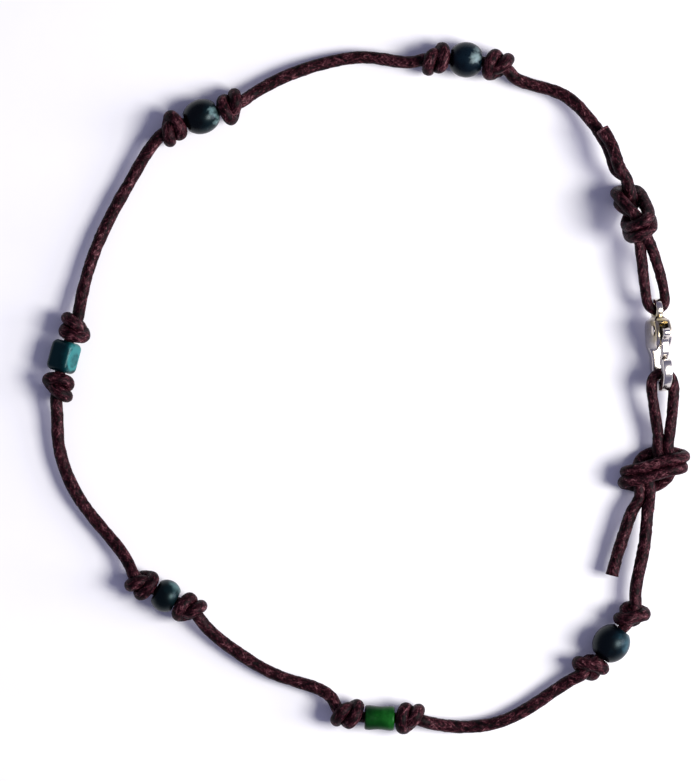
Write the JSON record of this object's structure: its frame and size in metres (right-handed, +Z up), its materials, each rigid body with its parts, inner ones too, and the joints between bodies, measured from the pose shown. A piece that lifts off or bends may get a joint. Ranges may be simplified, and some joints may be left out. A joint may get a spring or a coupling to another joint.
{
  "type": "beaded anklet",
  "caption": "Knotted waxed cord anklet with glass beads held between knots, closed by a lobster clasp hooked into a cord loop.",
  "frame": {"origin": "centre of the anklet's footprint, on the surface it lies on", "axes": "+Z up from the surface, +X towards the clasp, +Y along the clasp from its hook to its eye and along the anklet's longest side"},
  "size_m": [0.0762, 0.0816, 0.0074],
  "materials": {
    "waxed_cord": "dark maroon-brown waxed cotton, woven, slight sheen",
    "glass_blue_black": "polished blue-black glass",
    "glass_teal": "polished deep teal glass",
    "glass_dark_teal": "polished dark teal glass",
    "glass_green": "polished green glass",
    "glass_navy": "polished navy glass",
    "clasp_metal": "bright silver-coloured cast metal"
  },
  "bodies": {
    "anklet": {"cord": "waxed_cord", "bead_blue_black_1": "glass_blue_black", "bead_blue_black_2": "glass_blue_black", "bead_teal_cube": "glass_teal", "bead_dark_teal": "glass_dark_teal", "bead_green_tube": "glass_green", "bead_navy": "glass_navy", "clasp_body": "clasp_metal", "clasp_rivet": "clasp_metal"},
    "lever": {"clasp_lever": "clasp_metal"}
  },
  "joints": [
    {"name": "lever_hinge", "type": "hinge", "parent": "anklet", "child": "lever", "pos_m": [0.03476, 0.00685, 0.00376], "axis": [0.9584, 0.0737, -0.2756], "range_deg": [0, 25], "stiffness_Nm_per_rad": 0.005}
  ]
}
